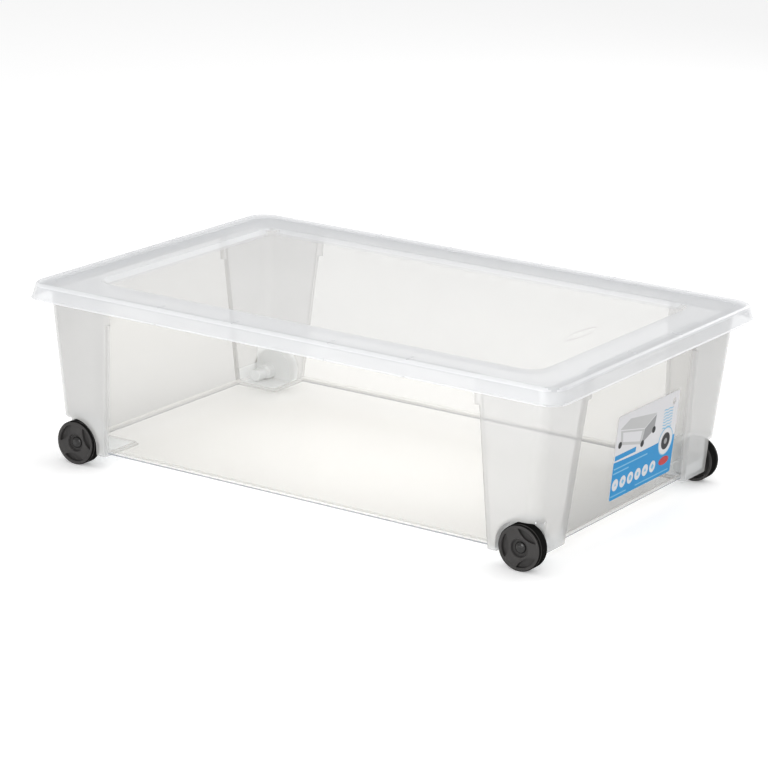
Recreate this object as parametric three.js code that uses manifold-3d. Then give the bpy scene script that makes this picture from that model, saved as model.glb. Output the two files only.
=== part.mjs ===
// A low rolling storage box for the space under a bed: a one-piece translucent tub with four
// corner posts, a lift-off lid, four small wheels on snap-in axle pins and a stuck-on label.
// Millimetres, +Z up. X runs along the long side and Y along the short side. The origin is on
// the ground under the middle of the box.

import * as THREE from 'three';
import { mergeVertices } from 'three/addons/utils/BufferGeometryUtils.js';
import loadManifold from 'manifold-3d';

const wasm = await loadManifold();
wasm.setup();

// Lid, measured over its skirt
const lidHalfLength = 300;
const lidHalfWidth = 200;
const lidCornerRadius = 20;
const skirtBottomZ = 167;
const crestZ = 183;
const lidWall = 2;
const lipProud = 0.8;
const crestBandWidth = 13;
const crestBandRise = 1;
const rimBandWidth = 50;
const panelDrop = 4.7;
const panelSlope = 3;
const snapBeadDepth = 3.4;
const snapBeadHeight = 2;
const snapBeadZ = 172;
const snapZoneHalf = 43;
const snapZoneX = 97;

// Tub, measured over its corner posts at the rim
const rimZ = 179.6;
const postHalfLength = 282.8;
const postHalfWidth = 186.9;
const postCornerRadius = 14;
const draft = 0.08;
const wall = 2;
const panelRecess = 5;
const footZ = 13;
const floorZ = 15;
const longPanelHalf = { bottom: 219, top: 209 };
const shortPanelHalf = { bottom: 118, top: 104.5 };
const flangeHalfLength = 293;
const flangeHalfWidth = 193;
const flangeThickness = 2.7;
const gussetWidth = 3.5;
const gussetDrop = 28;

// Wheels, their wells and their axles
const wheelRadius = 22.1;
const wheelThickness = 14;
const wheelX = 253.9;
const wheelFaceY = 175.7;
const wellClearance = 3.5;
const wellWallY = 158.5;
const bossBaseRadius = 10;
const bossBaseLength = 10.5;
const bossTipRadius = 6.5;
const bossReach = 25.5;
const bossEnd = 1.6;
const axleRadius = 4;
const runningGap = 0.3;
const pinHeadRadius = 5.7;
const pinHeadRise = 2.2;
const hubRecess = 3.8;
const faceStep = 0.5;
const pocketCount = 3;
const pocketRadius = 14.8;
const pocketLength = 22.5;
const pocketWidth = 7.4;
const pocketDepth = 3.2;

// Label on the +X end panel
const labelWidth = 121;
const labelHeight = 84;
const labelCentreY = 27.5;
const labelCentreZ = 73.5;
const labelThickness = 0.5;
const hangHole = { fromRight: 9, fromTop: 9, radius: 3.5 };

const cornerSegments = 3;
const wheelSegments = 36;
const pinSegments = 24;
const beyond = 20;

const toSolid = (geometry) => {
  const bare = geometry.clone();
  bare.deleteAttribute('normal');
  bare.deleteAttribute('uv');
  const merged = mergeVertices(bare, 1e-4);
  const vertProperties = new Float32Array(merged.attributes.position.array);
  const triVerts = new Uint32Array(merged.index.array);
  return new wasm.Manifold(new wasm.Mesh({ numProp: 3, vertProperties, triVerts }));
};

const toGeometry = (solid) => {
  const mesh = solid.getMesh();
  const geometry = new THREE.BufferGeometry();
  geometry.setAttribute('position', new THREE.BufferAttribute(new Float32Array(mesh.vertProperties), 3));
  geometry.setIndex(new THREE.BufferAttribute(new Uint32Array(mesh.triVerts), 1));
  geometry.computeVertexNormals();
  return geometry;
};

const joined = (solids) => solids.reduce((total, next) => total.add(next));

const roundedRectangle = (halfX, halfY, radius) => {
  const shape = new THREE.Shape();
  shape.absarc(halfX - radius, halfY - radius, radius, 0, Math.PI / 2);
  shape.absarc(radius - halfX, halfY - radius, radius, Math.PI / 2, Math.PI);
  shape.absarc(radius - halfX, radius - halfY, radius, Math.PI, 1.5 * Math.PI);
  shape.absarc(halfX - radius, radius - halfY, radius, 1.5 * Math.PI, 2 * Math.PI);
  return shape;
};

// A rounded rectangle raised through a list of levels. Each level draws the outline in by its
// inset and sets its height, so a draft, a fillet or a sunken middle is one list.
const layered = (halfX, halfY, radius, levels) => {
  const steps = levels.length - 1;
  const geometry = new THREE.ExtrudeGeometry(roundedRectangle(halfX, halfY, radius), {
    depth: steps,
    steps,
    bevelEnabled: false,
    curveSegments: cornerSegments,
  });
  const position = geometry.attributes.position;
  for (let i = 0; i < position.count; i += 1) {
    const { inset, z } = levels[Math.round(position.getZ(i))];
    const x = position.getX(i);
    const y = position.getY(i);
    position.setXYZ(i, x - Math.sign(x) * inset, y - Math.sign(y) * inset, z);
  }
  return toSolid(geometry);
};

const box = (x0, x1, y0, y1, z0, z1) => {
  const geometry = new THREE.BoxGeometry(x1 - x0, y1 - y0, z1 - z0);
  geometry.translate((x0 + x1) / 2, (y0 + y1) / 2, (z0 + z1) / 2);
  return toSolid(geometry);
};

// An outline drawn in X and Z, carried along Y from y0 to y1.
const alongY = (shape, y0, y1) => {
  const geometry = new THREE.ExtrudeGeometry(shape, {
    depth: y1 - y0,
    bevelEnabled: false,
    curveSegments: pinSegments / 2,
  });
  geometry.rotateX(Math.PI / 2);
  geometry.translate(0, y1, 0);
  return toSolid(geometry);
};

const cylinderAlongY = (radius, x, y0, y1, z) => {
  const geometry = new THREE.CylinderGeometry(radius, radius, y1 - y0, pinSegments);
  geometry.translate(x, (y0 + y1) / 2, z);
  return toSolid(geometry);
};

const bothSides = (solid, normal) => solid.add(solid.mirror(normal));

const atFourCorners = (solid) => bothSides(bothSides(solid, [1, 0, 0]), [0, 1, 0]);

// Tub

const draftedInset = (z) => draft * (rimZ - z);

const draftedBlock = (inset, z0, z1) => layered(postHalfLength, postHalfWidth, postCornerRadius, [
  { inset: inset + draftedInset(z0), z: z0 },
  { inset: inset + draftedInset(z1), z: z1 },
]);

const panelSlot = (half, grow) => {
  const slope = (half.top - half.bottom) / (rimZ - footZ);
  const low = footZ - beyond;
  const high = rimZ + beyond;
  const widthAt = (z) => half.bottom + slope * (z - footZ) + grow;
  return new THREE.Shape([
    new THREE.Vector2(-widthAt(low), low),
    new THREE.Vector2(widthAt(low), low),
    new THREE.Vector2(widthAt(high), high),
    new THREE.Vector2(-widthAt(high), high),
  ]);
};

// What is left of a block once the four panels are taken out of its sides: its corner posts.
const cornersOf = (block, grow) => {
  const acrossWidth = alongY(panelSlot(longPanelHalf, grow), -lidHalfLength, lidHalfLength);
  const acrossLength = alongY(panelSlot(shortPanelHalf, grow), -lidHalfLength, lidHalfLength)
    .rotate([0, 0, 90]);
  return block.subtract(acrossWidth).subtract(acrossLength);
};

// A quarter arch over the wheel that runs straight on, out through the end of the box.
const wellShape = (radius) => {
  const shape = new THREE.Shape();
  shape.moveTo(wheelX - radius, -beyond);
  shape.lineTo(lidHalfLength, -beyond);
  shape.lineTo(lidHalfLength, wheelRadius + radius);
  shape.absarc(wheelX, wheelRadius, radius, Math.PI / 2, Math.PI);
  return shape;
};

const makeTub = () => {
  const gussets = [
    bothSides(box(longPanelHalf.top - gussetWidth, longPanelHalf.top + wall, -lidHalfWidth,
      lidHalfWidth, rimZ - gussetDrop, rimZ - 1), [1, 0, 0]),
    bothSides(box(-lidHalfLength, lidHalfLength, shortPanelHalf.top - gussetWidth,
      shortPanelHalf.top + wall, rimZ - gussetDrop, rimZ - 1), [0, 1, 0]),
  ];
  const flange = layered(flangeHalfLength, flangeHalfWidth, lidCornerRadius, [
    { inset: 0, z: rimZ - flangeThickness },
    { inset: 0, z: rimZ },
  ]);
  const outside = joined([
    draftedBlock(panelRecess, floorZ, rimZ),
    cornersOf(draftedBlock(0, footZ, rimZ), 0),
    draftedBlock(0, footZ, rimZ).intersect(joined(gussets)),
    flange,
  ]);
  const inside = joined([
    draftedBlock(panelRecess + wall, floorZ + wall, rimZ + beyond),
    cornersOf(draftedBlock(wall, footZ + wall, rimZ + beyond), wall),
  ]);

  const wellRadius = wheelRadius + wellClearance;
  const housing = alongY(wellShape(wellRadius + wall), wellWallY - wall, lidHalfWidth);
  const bossBase = cylinderAlongY(bossBaseRadius, wheelX, wellWallY - wall - bossBaseLength,
    wellWallY, wheelRadius);
  const bossTip = cylinderAlongY(bossTipRadius, wheelX, wellWallY - wall - bossReach,
    wellWallY, wheelRadius);
  const fittings = joined([housing, bossBase, bossTip]);
  const well = alongY(wellShape(wellRadius), wellWallY, lidHalfWidth);
  const bore = cylinderAlongY(axleRadius + runningGap, wheelX,
    wellWallY - wall - bossReach + bossEnd, lidHalfWidth, wheelRadius);

  return outside
    .subtract(inside)
    .add(atFourCorners(fittings).intersect(draftedBlock(0, footZ, rimZ)))
    .subtract(atFourCorners(well.add(bore)));
};

// Lid

const makeLid = () => {
  const bandZ = crestZ - crestBandRise;
  const panelZ = bandZ - panelDrop;
  const skirtLean = 2.8;
  const outer = layered(lidHalfLength, lidHalfWidth, lidCornerRadius, [
    { inset: 0, z: skirtBottomZ },
    { inset: 0, z: skirtBottomZ + 1 },
    { inset: lipProud, z: skirtBottomZ + 1.8 },
    { inset: skirtLean, z: crestZ - 3 },
    { inset: skirtLean + 0.7, z: crestZ - 1.2 },
    { inset: skirtLean + 1.8, z: crestZ - 0.3 },
    { inset: skirtLean + 3.2, z: crestZ },
    { inset: skirtLean + crestBandWidth, z: crestZ },
    { inset: skirtLean + crestBandWidth + 1.2, z: bandZ },
    { inset: rimBandWidth, z: bandZ },
    { inset: rimBandWidth + panelSlope, z: panelZ },
  ]);
  const inner = layered(lidHalfLength, lidHalfWidth, lidCornerRadius, [
    { inset: lipProud + lidWall - draft, z: skirtBottomZ - 1 },
    { inset: skirtLean + lidWall, z: crestZ - 3 },
    { inset: skirtLean + lidWall + 1, z: crestZ - lidWall },
    { inset: skirtLean + crestBandWidth - 1, z: crestZ - lidWall },
    { inset: skirtLean + crestBandWidth, z: bandZ - lidWall },
    { inset: rimBandWidth - 1.5, z: bandZ - lidWall },
    { inset: rimBandWidth + panelSlope - 1.5, z: panelZ - lidWall },
  ]);
  const beadIn = lidHalfLength - lidWall - lipProud - snapBeadDepth;
  const beadAcross = lidHalfWidth - lidWall - lipProud - snapBeadDepth;
  const beadTop = snapBeadZ + snapBeadHeight;
  const beads = joined([
    atFourCorners(box(snapZoneX - snapZoneHalf, snapZoneX + snapZoneHalf, beadAcross,
      lidHalfWidth - lidWall, snapBeadZ, beadTop)),
    bothSides(box(beadIn, lidHalfLength - lidWall, -snapZoneHalf, snapZoneHalf,
      snapBeadZ, beadTop), [1, 0, 0]),
  ]);
  return outer.subtract(inner).add(beads.intersect(outer));
};

// Wheels and axle pins. Both are turned about their own Y, with y = 0 on the plane of the
// rim's inner edge and +y pointing out of the box.

const boreRadius = axleRadius + runningGap;
const hubStandOff = wheelFaceY - wheelThickness - wellWallY - runningGap;

const turned = (points, segments) => {
  const profile = points.map(([radius, y]) => new THREE.Vector2(radius, y));
  return toSolid(new THREE.LatheGeometry(profile, segments));
};

const lens = (length, width) => {
  const half = length / 2;
  const sagitta = width / 2;
  const radius = (half * half + sagitta * sagitta) / (2 * sagitta);
  const reach = Math.asin(half / radius);
  const shape = new THREE.Shape();
  shape.absarc(0, sagitta - radius, radius, Math.PI / 2 - reach, Math.PI / 2 + reach);
  shape.absarc(0, radius - sagitta, radius, -Math.PI / 2 - reach, -Math.PI / 2 + reach);
  return shape;
};

const makeWheel = () => {
  const face = wheelThickness;
  const dishFloor = face - hubRecess;
  const body = turned([
    [boreRadius, -hubStandOff],
    [8, -hubStandOff],
    [8.6, 7.5],
    [18.3, 7.5],
    [18.9, 0],
    [wheelRadius - 0.8, 0],
    [wheelRadius, 0.8],
    [wheelRadius, face - 4.1],
    [wheelRadius - 0.9, face - 3.7],
    [wheelRadius - 0.9, face - 2.7],
    [wheelRadius - 0.1, face - 2.3],
    [wheelRadius - 0.1, face - 1],
    [wheelRadius - 0.6, face - 0.3],
    [wheelRadius - 1.5, face],
    [wheelRadius - 3, face],
    [wheelRadius - 3.4, face - faceStep],
    [9.4, face - faceStep],
    [8.7, face - 0.9],
    [7.5, dishFloor],
    [boreRadius, dishFloor],
    [boreRadius, -hubStandOff],
  ], wheelSegments);
  const pocket = new THREE.ExtrudeGeometry(lens(pocketLength, pocketWidth), {
    depth: wheelThickness,
    bevelEnabled: false,
    curveSegments: cornerSegments,
  });
  pocket.rotateX(-Math.PI / 2);
  pocket.translate(0, face - faceStep - pocketDepth, pocketRadius);
  const cutter = toSolid(pocket);
  const turn = 360 / pocketCount;
  const pockets = Array.from({ length: pocketCount }, (_, i) => cutter.rotate([0, i * turn, 0]));
  return body.subtract(joined(pockets));
};

const makePin = () => {
  const headBase = wheelThickness - hubRecess + runningGap;
  const tip = wellWallY - wall - bossReach + bossEnd + runningGap - (wheelFaceY - wheelThickness);
  const headRound = new THREE.EllipseCurve(0, headBase + 0.5, pinHeadRadius, pinHeadRise, 0, Math.PI / 2);
  const dome = headRound.getPoints(cornerSegments).map((point) => [Math.max(point.x, 0), point.y]);
  return turned([
    [0, tip],
    [axleRadius - 1, tip],
    [axleRadius, tip + 1.5],
    [axleRadius, headBase],
    [pinHeadRadius, headBase],
    ...dome.slice(0, -1),
    [0, headBase + 0.5 + pinHeadRise],
  ], pinSegments);
};

// Label: a thin card with rounded corners and a hanging hole, laid on the drafted end panel

const makeLabel = () => {
  const shape = roundedRectangle(labelWidth / 2, labelHeight / 2, 2);
  const hole = new THREE.Path();
  hole.absarc(labelWidth / 2 - hangHole.fromRight, labelHeight / 2 - hangHole.fromTop,
    hangHole.radius, 0, 2 * Math.PI);
  shape.holes.push(hole);
  const geometry = new THREE.ExtrudeGeometry(shape, {
    depth: labelThickness,
    bevelEnabled: false,
    curveSegments: cornerSegments,
  });
  return toSolid(geometry);
};

// Assembly

const material = (color, roughness) => new THREE.MeshStandardMaterial({ color, roughness, metalness: 0 });

const materials = {
  tub: material(0xe6e7e4, 0.35),
  lid: material(0xe4e7ec, 0.4),
  wheel: material(0x1c1c1d, 0.45),
  pin: material(0x242425, 0.4),
  label: material(0xf4f6f8, 0.5),
};

const underBedBox = new THREE.Group();

const place = (name, solid, finish, parent = underBedBox) => {
  const mesh = new THREE.Mesh(toGeometry(solid), finish);
  mesh.name = name;
  parent.add(mesh);
  return mesh;
};

place('box_tub', makeTub(), materials.tub);
place('lid', makeLid(), materials.lid);

// turn is how far each wheel stands rolled round, in degrees.
const corners = [
  { name: 'front_left', x: -1, y: -1, turn: 55 },
  { name: 'front_right', x: 1, y: -1, turn: -30 },
  { name: 'back_left', x: -1, y: 1, turn: 20 },
  { name: 'back_right', x: 1, y: 1, turn: -35 },
];

for (const corner of corners) {
  const axle = new THREE.Group();
  axle.position.set(corner.x * wheelX, corner.y * (wheelFaceY - wheelThickness), wheelRadius);
  axle.rotation.z = corner.y > 0 ? 0 : Math.PI;
  const wheel = place(`wheel_${corner.name}`, makeWheel(), materials.wheel, axle);
  wheel.rotation.y = THREE.MathUtils.degToRad(corner.turn);
  place(`axle_pin_${corner.name}`, makePin(), materials.pin, axle);
  underBedBox.add(axle);
}

// The end panel leans outwards towards its top, so the label tips forward by the draft angle.
const labelSeat = new THREE.Group();
labelSeat.position.set(
  postHalfLength - panelRecess - draftedInset(labelCentreZ) + runningGap,
  labelCentreY,
  labelCentreZ,
);
labelSeat.rotation.y = Math.atan(draft);
const label = place('label', makeLabel(), materials.label, labelSeat);
label.rotation.set(Math.PI / 2, Math.PI / 2, 0);
underBedBox.add(labelSeat);

export default underBedBox;
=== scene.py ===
import math

import bmesh
import bpy
from mathutils import Matrix, Vector


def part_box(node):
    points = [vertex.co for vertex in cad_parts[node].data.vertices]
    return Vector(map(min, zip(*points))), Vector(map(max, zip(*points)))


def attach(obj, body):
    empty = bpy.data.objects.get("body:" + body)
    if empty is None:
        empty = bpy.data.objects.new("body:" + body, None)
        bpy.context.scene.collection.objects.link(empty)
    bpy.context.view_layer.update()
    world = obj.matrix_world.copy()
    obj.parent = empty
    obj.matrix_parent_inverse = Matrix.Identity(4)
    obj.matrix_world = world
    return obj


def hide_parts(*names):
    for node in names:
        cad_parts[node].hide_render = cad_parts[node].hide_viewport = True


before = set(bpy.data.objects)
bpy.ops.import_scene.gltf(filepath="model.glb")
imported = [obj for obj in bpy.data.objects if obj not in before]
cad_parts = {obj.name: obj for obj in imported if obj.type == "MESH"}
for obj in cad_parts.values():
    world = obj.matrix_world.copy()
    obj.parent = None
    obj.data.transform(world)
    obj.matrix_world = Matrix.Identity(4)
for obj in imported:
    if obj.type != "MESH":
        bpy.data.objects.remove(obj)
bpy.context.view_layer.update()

mm = 0.001  # sizes below are in millimetres; meshes are scaled by this as they are made
cornerNames = ("front_left", "front_right", "back_left", "back_right")


def arc(centre, radius, start, end, steps):  # points on an arc, both ends in, degrees
    points = []
    for i in range(steps + 1):
        turn = math.radians(start + (end - start) * i / steps)
        points.append((centre[0] + radius * math.cos(turn), centre[1] + radius * math.sin(turn)))
    return points


def newPiece(name, points, faces, materials):
    mesh = bpy.data.meshes.new(name)
    mesh.from_pydata([Vector(p) * mm for p in points], [], faces)
    for material in materials:
        mesh.materials.append(material)
    piece = bpy.data.objects.new(name, mesh)
    bpy.context.scene.collection.objects.link(piece)
    return piece


def closeUp(piece):  # merges doubled points and turns a closed skin's faces outwards
    working = bmesh.new()
    working.from_mesh(piece.data)
    bmesh.ops.remove_doubles(working, verts=working.verts, dist=1e-7)
    bmesh.ops.dissolve_degenerate(working, edges=working.edges, dist=1e-7)
    bmesh.ops.recalc_face_normals(working, faces=working.faces)
    working.to_mesh(piece.data)
    working.free()
    return piece


def settle(piece):  # swaps the piece's modifiers for the plain mesh they give
    graph = bpy.context.evaluated_depsgraph_get()
    mesh = bpy.data.meshes.new_from_object(
        piece.evaluated_get(graph), preserve_all_data_layers=True, depsgraph=graph)
    old = piece.data
    piece.modifiers.clear()
    piece.data = mesh
    bpy.data.meshes.remove(old)
    mesh.name = piece.name
    return piece


def combine(piece, tool, operation):  # DIFFERENCE or UNION with a tool that is then thrown away
    modifier = piece.modifiers.new("combine", "BOOLEAN")
    modifier.operation = operation
    modifier.solver = "EXACT"
    modifier.object = tool
    settle(piece)
    bpy.data.objects.remove(tool)
    return piece


def joined(name, parts):  # several objects' meshes as one object
    working = bmesh.new()
    materials = []
    for part in parts:
        shift = len(materials)
        materials += part.data.materials[:]
        before = len(working.faces)
        working.from_mesh(part.data)
        working.faces.ensure_lookup_table()
        for face in working.faces[before:]:
            face.material_index += shift
        bpy.data.objects.remove(part)
    mesh = bpy.data.meshes.new(name)
    working.to_mesh(mesh)
    working.free()
    for material in materials:
        mesh.materials.append(material)
    piece = bpy.data.objects.new(name, mesh)
    bpy.context.scene.collection.objects.link(piece)
    return piece


def smooth(piece, sharpest=35):  # soft shading with crisp edges kept
    mesh = piece.data
    mesh.shade_smooth()
    mesh.set_sharp_from_angle(angle=math.radians(sharpest))
    weights = piece.modifiers.new("weights", "WEIGHTED_NORMAL")
    weights.keep_sharp = True
    return settle(piece)


def stackRings(rings):  # faces between rings of equal length, each ring a list of point numbers
    faces = []
    for low, high in zip(rings, rings[1:]):
        count = len(low)
        for i in range(count):
            j = (i + 1) % count
            faces.append((low[i], low[j], high[j], high[i]))
    return faces


def turned(name, profile, centre, outward, materials, steps=64):  # spun about an axis along Y
    points = []
    for i in range(steps):
        turn = 2 * math.pi * i / steps
        for radius, along in profile:
            points.append((centre[0] + radius * math.cos(turn), centre[1] + outward * along,
                           centre[2] + radius * math.sin(turn)))
    size = len(profile)
    rings = [list(range(i * size, (i + 1) * size)) for i in range(steps)]
    faces = []
    for here, there in zip(rings, rings[1:] + rings[:1]):
        for i in range(size - 1):
            faces.append((here[i], here[i + 1], there[i + 1], there[i]))
    return closeUp(newPiece(name, points, faces, materials))


def prism(name, outline, y0, y1, materials):  # an outline in X and Z carried along Y
    count = len(outline)
    points = [(x, y0, z) for x, z in outline] + [(x, y1, z) for x, z in outline]
    near, far = list(range(count)), list(range(count, 2 * count))
    faces = stackRings([near, far]) + [near[::-1], far]
    return closeUp(newPiece(name, points, faces, materials))


def addNode(tree, kind, values=None, **settings):
    node = tree.nodes.new(kind)
    for key, value in settings.items():
        setattr(node, key, value)
    for key, value in (values or {}).items():
        node.inputs[key].default_value = value
    return node


plasticIor = 1.49
grainRelief = 0.0003  # metres between the grain's hills and hollows


def printInk(colour, cloud, cloudShare, roughness=0.35):  # the inks differ in little but colour
    return dict(colour=colour, roughness=roughness, alpha=1.0, specular=0.15,
                grain=1500, grainDepth=0.01, cloud=cloud, cloudShare=cloudShare)


looks = dict(
    clearPlastic=dict(colour=(0.68, 0.662, 0.615), roughness=0.16, alpha=0.17, specular=0.5,
                      grain=900, grainDepth=0.02, cloud=6, cloudShare=0.05),
    frostedPlastic=dict(colour=(0.60, 0.597, 0.585), roughness=0.42, alpha=0.37, specular=0.5,
                        grain=1400, grainDepth=0.10, cloud=9, cloudShare=0.05),
    # wellPlastic: the more opaque frosted plastic round the wheel wells, its near-white colour a painted
    # glow of light passing through
    wellPlastic=dict(colour=(0.93, 0.955, 0.98), roughness=0.35, alpha=0.66, specular=0.5,
                     grain=1400, grainDepth=0.05, cloud=20, cloudShare=0.05),
    rimPlastic=dict(colour=(0.58, 0.59, 0.60), roughness=0.36, alpha=0.42, specular=0.4,
                    grain=1100, grainDepth=0.05, cloud=9, cloudShare=0.05),
    footPlastic=dict(colour=(0.70, 0.69, 0.655), roughness=0.45, alpha=0.50, specular=0.15,
                     grain=1100, grainDepth=0.05, cloud=9, cloudShare=0.05),
    # edgePlastic: a dark band on the tub's lowest outer round, painted shadow and painted dark refraction
    # along the base edge
    edgePlastic=dict(colour=(0.15, 0.175, 0.22), roughness=0.30, alpha=0.66, specular=0.5,
                     grain=1100, grainDepth=0.05, cloud=9, cloudShare=0.10),
    # endPlastic: the clear plastic painted darker, as painted shade on the end panels, which less light
    # reaches
    endPlastic=dict(colour=(0.44, 0.42, 0.37), roughness=0.16, alpha=0.22, specular=0.5,
                    grain=900, grainDepth=0.02, cloud=6, cloudShare=0.05,
                    # low and paintedFootShade: painted shadow, the colour deepening to low between 125 mm
                    # and 20 mm above the floor
                    low=(0.07, 0.07, 0.065), paintedFootShade=(0.020, 0.125)),
    # lidCrest: a lighter, glossier copy of the lid band, a painted highlight on the crest round and the lip
    lidCrest=dict(colour=(0.93, 0.94, 0.955), roughness=0.24, alpha=0.60, specular=0.5,
                  grain=1100, grainDepth=0.04, cloud=7, cloudShare=0.03),
    lidBand=dict(colour=(0.805, 0.815, 0.835), roughness=0.30, alpha=0.46, specular=0.5,
                 grain=1100, grainDepth=0.05, cloud=7, cloudShare=0.05),
    lidClear=dict(colour=(0.75, 0.745, 0.73), roughness=0.14, alpha=0.29, specular=0.5,
                  grain=700, grainDepth=0.02, cloud=4, cloudShare=0.07),
    blackPlastic=dict(colour=(0.054, 0.052, 0.051), roughness=0.44, alpha=1.0, specular=0.12,
                      grain=2200, grainDepth=0.12, cloud=60, cloudShare=0.20),
    # treadPlastic: the black plastic painted deeper black on the tread, as painted shade
    treadPlastic=dict(colour=(0.010, 0.0098, 0.0095), roughness=0.55, alpha=1.0, specular=0.0,
                      grain=2200, grainDepth=0.12, cloud=60, cloudShare=0.20),
    pinPlastic=dict(colour=(0.014, 0.0135, 0.013), roughness=0.26, alpha=1.0, specular=0.5,
                    grain=2600, grainDepth=0.05, cloud=80, cloudShare=0.15),
    cardWhite=dict(colour=(0.68, 0.675, 0.69), roughness=0.35, alpha=1.0, specular=0.15,
                   grain=900, grainDepth=0.01, cloud=20, cloudShare=0.03),
    inkBlue=printInk((0.000, 0.250, 0.560), 30, 0.06, roughness=0.33),
    inkSky=printInk((0.18, 0.46, 0.66), 30, 0.05),
    inkPale=printInk((0.50, 0.50, 0.50), 24, 0.08),
    inkGrey=printInk((0.30, 0.30, 0.305), 24, 0.10),
    inkDark=printInk((0.008, 0.008, 0.009), 40, 0.15),
    inkRed=printInk((0.48, 0.025, 0.030), 40, 0.08),
)


def makePlastic(name, look):  # moulded plastic or ink: cloudy tone and a fine surface grain
    material = bpy.data.materials.new(name)
    material.use_nodes = True
    tree = material.node_tree
    shader = tree.nodes["Principled BSDF"]
    shader.inputs["Roughness"].default_value = look["roughness"]
    shader.inputs["Alpha"].default_value = look["alpha"]
    shader.inputs["IOR"].default_value = plasticIor
    shader.inputs["Specular IOR Level"].default_value = look["specular"]
    place = addNode(tree, "ShaderNodeTexCoord")
    cloud = addNode(tree, "ShaderNodeTexNoise", {"Scale": look["cloud"], "Detail": 4.0})
    tree.links.new(place.outputs["Object"], cloud.inputs["Vector"])
    tones = addNode(tree, "ShaderNodeMix", data_type="RGBA")
    share = look["cloudShare"]
    tones.inputs["A"].default_value = (*[c * (1 - share) for c in look["colour"]], 1)
    tones.inputs["B"].default_value = (*[min(1, c * (1 + share)) for c in look["colour"]], 1)
    tree.links.new(cloud.outputs["Fac"], tones.inputs["Factor"])
    colour = tones.outputs["Result"]
    if "paintedFootShade" in look:  # painted shade: a deeper tone towards the foot, where the floor beneath lies in shadow
        parts = addNode(tree, "ShaderNodeSeparateXYZ")
        tree.links.new(place.outputs["Object"], parts.inputs[0])
        low, high = look["paintedFootShade"]
        height = addNode(tree, "ShaderNodeMapRange", {"From Min": low, "From Max": high})
        tree.links.new(parts.outputs["Z"], height.inputs["Value"])
        paintedFootShade = addNode(tree, "ShaderNodeMix", data_type="RGBA")
        paintedFootShade.inputs["A"].default_value = (*look["low"], 1)
        tree.links.new(height.outputs["Result"], paintedFootShade.inputs["Factor"])
        tree.links.new(colour, paintedFootShade.inputs["B"])
        colour = paintedFootShade.outputs["Result"]
    tree.links.new(colour, shader.inputs["Base Color"])
    grain = addNode(tree, "ShaderNodeTexNoise", {"Scale": look["grain"], "Detail": 2.0})
    tree.links.new(place.outputs["Object"], grain.inputs["Vector"])
    bump = addNode(tree, "ShaderNodeBump", {"Strength": look["grainDepth"], "Distance": grainRelief})
    tree.links.new(grain.outputs["Fac"], bump.inputs["Height"])
    tree.links.new(bump.outputs["Normal"], shader.inputs["Normal"])
    return material


finish = {name: makePlastic(name, look) for name, look in looks.items()}
print("materials made")


def newTree(name, sockets):  # a geometry tree with these inputs beside its geometry
    tree = bpy.data.node_groups.new(name, "GeometryNodeTree")
    tree.interface.new_socket("Geometry", in_out="INPUT", socket_type="NodeSocketGeometry")
    for socket, kind in sockets.items():
        tree.interface.new_socket(socket, in_out="INPUT", socket_type=f"NodeSocket{kind}")
    tree.interface.new_socket("Geometry", in_out="OUTPUT", socket_type="NodeSocketGeometry")
    return tree, addNode(tree, "NodeGroupInput"), addNode(tree, "NodeGroupOutput")


def asTurn(tree, angles):
    euler = addNode(tree, "FunctionNodeEulerToRotation")
    tree.links.new(angles, euler.inputs[0])
    return euler.outputs[0]


def standOn(tree, points, shape, turn=None):  # the shape on every point, as one real mesh
    spread = addNode(tree, "GeometryNodeInstanceOnPoints")
    tree.links.new(points, spread.inputs["Points"])
    tree.links.new(shape, spread.inputs["Instance"])
    if turn is not None:
        tree.links.new(turn, spread.inputs["Rotation"])
    solid = addNode(tree, "GeometryNodeRealizeInstances")
    tree.links.new(spread.outputs[0], solid.inputs[0])
    return solid.outputs[0]


def paintAndEnd(tree, mesh, start, end):
    paint = addNode(tree, "GeometryNodeSetMaterial")
    tree.links.new(mesh, paint.inputs["Geometry"])
    tree.links.new(start.outputs["Finish"], paint.inputs["Material"])
    tree.links.new(paint.outputs[0], end.inputs[0])
    return tree


def makeRepeatTree():  # stands a block on every point, turned by the point's own "turn"
    tree, start, end = newTree("repeatBlocks", {"Length": "Float", "Width": "Float", "Height": "Float",
                                                "Finish": "Material"})
    size = addNode(tree, "ShaderNodeCombineXYZ")
    for axis, socket in zip("XYZ", ("Length", "Width", "Height")):
        tree.links.new(start.outputs[socket], size.inputs[axis])
    cube = addNode(tree, "GeometryNodeMeshCube")
    tree.links.new(size.outputs[0], cube.inputs["Size"])
    turn = addNode(tree, "GeometryNodeInputNamedAttribute", {"Name": "turn"}, data_type="FLOAT_VECTOR")
    blocks = standOn(tree, start.outputs["Geometry"], cube.outputs["Mesh"],
                     asTurn(tree, turn.outputs["Attribute"]))
    return paintAndEnd(tree, blocks, start, end)


repeatTree = makeRepeatTree()


def setInputs(modifier, values):  # by each socket's identifier
    for item in modifier.node_group.interface.items_tree:
        if item.in_out == "INPUT" and item.name in values:
            modifier[item.identifier] = values[item.name]


def repeatBlocks(name, places, size, material):  # places are (point, (turnX, turnY, turnZ))
    piece = newPiece(name, [p for p, _ in places], [], [])
    turns = piece.data.attributes.new("turn", "FLOAT_VECTOR", "POINT")
    turns.data.foreach_set("vector", [v for _, turn in places for v in turn])
    modifier = piece.modifiers.new("repeat", "NODES")
    modifier.node_group = repeatTree
    setInputs(modifier, {"Length": size[0] * mm, "Width": size[1] * mm, "Height": size[2] * mm,
                         "Finish": material})
    return closeUp(settle(piece))


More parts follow.
